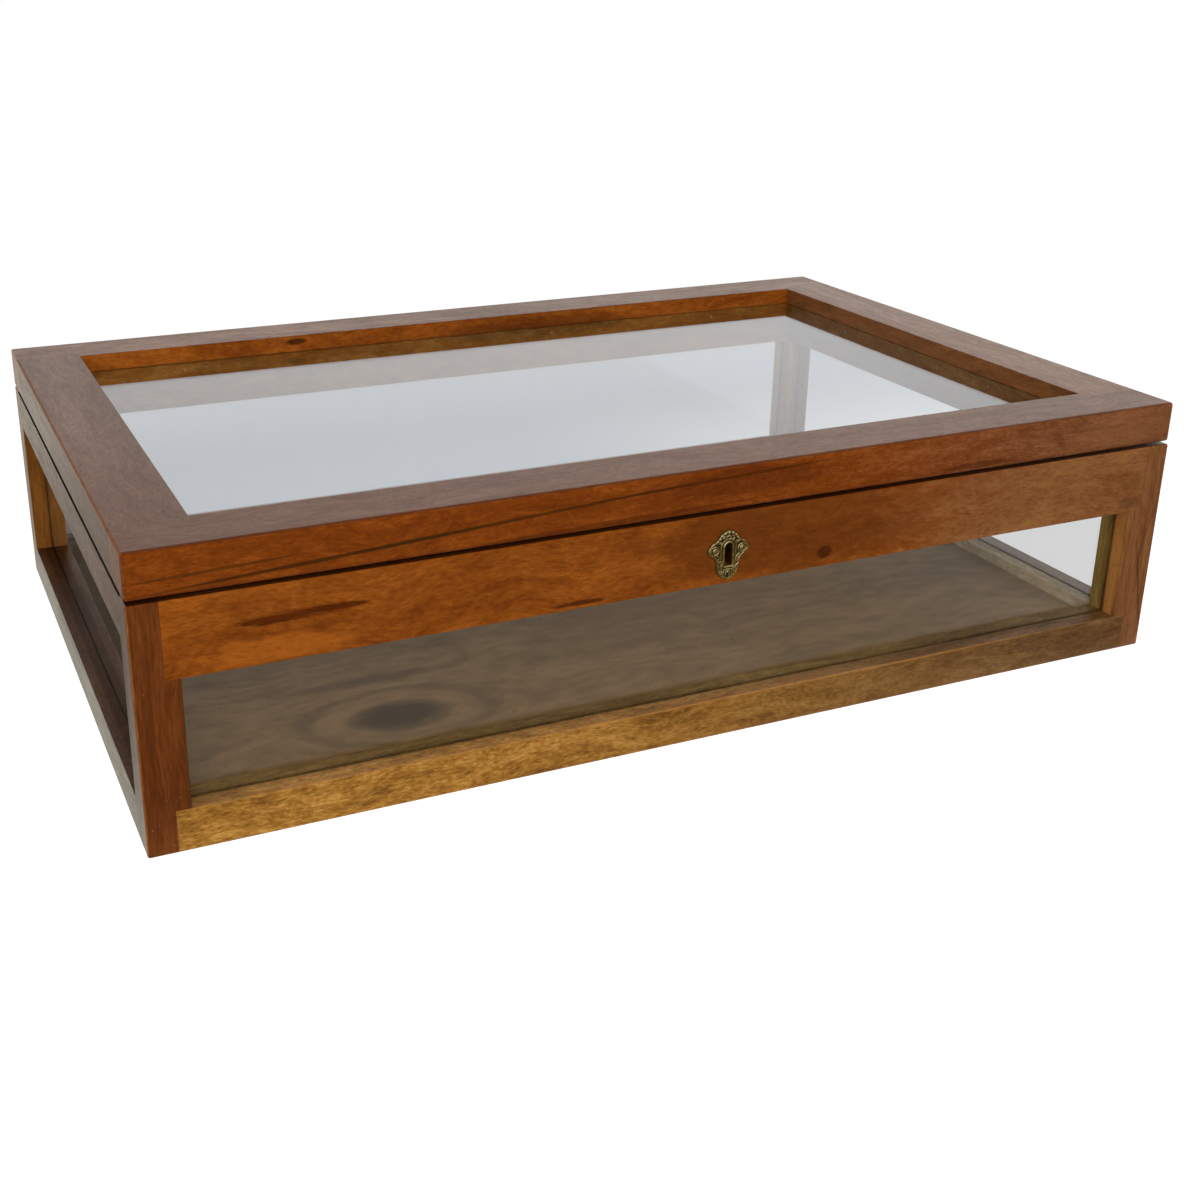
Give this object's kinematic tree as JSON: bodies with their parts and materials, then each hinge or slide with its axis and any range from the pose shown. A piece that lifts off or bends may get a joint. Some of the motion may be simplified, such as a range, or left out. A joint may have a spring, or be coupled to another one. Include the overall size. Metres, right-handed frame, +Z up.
{
  "type": "glass-topped display chest",
  "caption": "Low hardwood table case with glass in its top and all four sides, a hinged glazed lid, a boarded floor and a box lock behind a cast brass keyhole plate.",
  "frame": {"origin": "on the surface it stands on, under the middle of the case", "axes": "+X to the right seen from the keyhole side, +Y to the hinged back, +Z up"},
  "size_m": [0.62, 0.4044, 0.158],
  "materials": {
    "case_hardwood": "oiled rosewood-like hardwood",
    "lid_hardwood": "oiled rosewood-like hardwood",
    "bead_hardwood": "oiled hardwood",
    "floor_hardwood": "oiled figured hardwood",
    "glass": "clear float glass",
    "antique_brass": "cast, darkened in the hollows",
    "hinge_brass": "rolled, dulled",
    "lock_brass": "pressed, dulled",
    "steel": "drawn wire and spring strip"
  },
  "bodies": {
    "case": {"front_left_post": "case_hardwood", "front_right_post": "case_hardwood", "back_left_post": "case_hardwood", "back_right_post": "case_hardwood", "front_top_rail": "case_hardwood", "back_top_rail": "case_hardwood", "left_top_rail": "case_hardwood", "right_top_rail": "case_hardwood", "front_bottom_rail": "case_hardwood", "back_bottom_rail": "case_hardwood", "left_bottom_rail": "case_hardwood", "right_bottom_rail": "case_hardwood", "floor_panel": "floor_hardwood", "front_pane": "glass", "back_pane": "glass", "left_pane": "glass", "right_pane": "glass", "keyhole_plate": "antique_brass", "keyhole_plate_pins": "antique_brass", "lock_plate": "lock_brass", "lock_cap": "lock_brass", "lock_drill_pin": "steel", "lock_screws": "hinge_brass", "left_hinge_case_leaf": "hinge_brass", "right_hinge_case_leaf": "hinge_brass", "hinge_pins": "hinge_brass", "case_hinge_screws": "hinge_brass"},
    "lid": {"lid_front_rail": "lid_hardwood", "lid_back_rail": "lid_hardwood", "lid_left_stile": "lid_hardwood", "lid_right_stile": "lid_hardwood", "lid_glass": "glass", "lid_front_bead": "bead_hardwood", "lid_back_bead": "bead_hardwood", "lid_left_bead": "bead_hardwood", "lid_right_bead": "bead_hardwood", "lid_bead_brads": "steel", "left_hinge_lid_leaf": "hinge_brass", "right_hinge_lid_leaf": "hinge_brass", "lid_hinge_screws": "hinge_brass", "link_plate": "lock_brass", "link_plate_screws": "hinge_brass"},
    "lock_bolt": {"lock_bolt": "lock_brass", "lock_spring": "steel"}
  },
  "joints": [
    {"name": "lid_hinge", "type": "hinge", "parent": "case", "child": "lid", "pos_m": [0, 0.1995, 0.13325], "axis": [-1, 0, 0], "range_deg": [0, 105]},
    {"name": "bolt_slide", "type": "slide", "parent": "case", "child": "lock_bolt", "axis": [1, 0, 0], "range_m": [0, 0.006]}
  ]
}
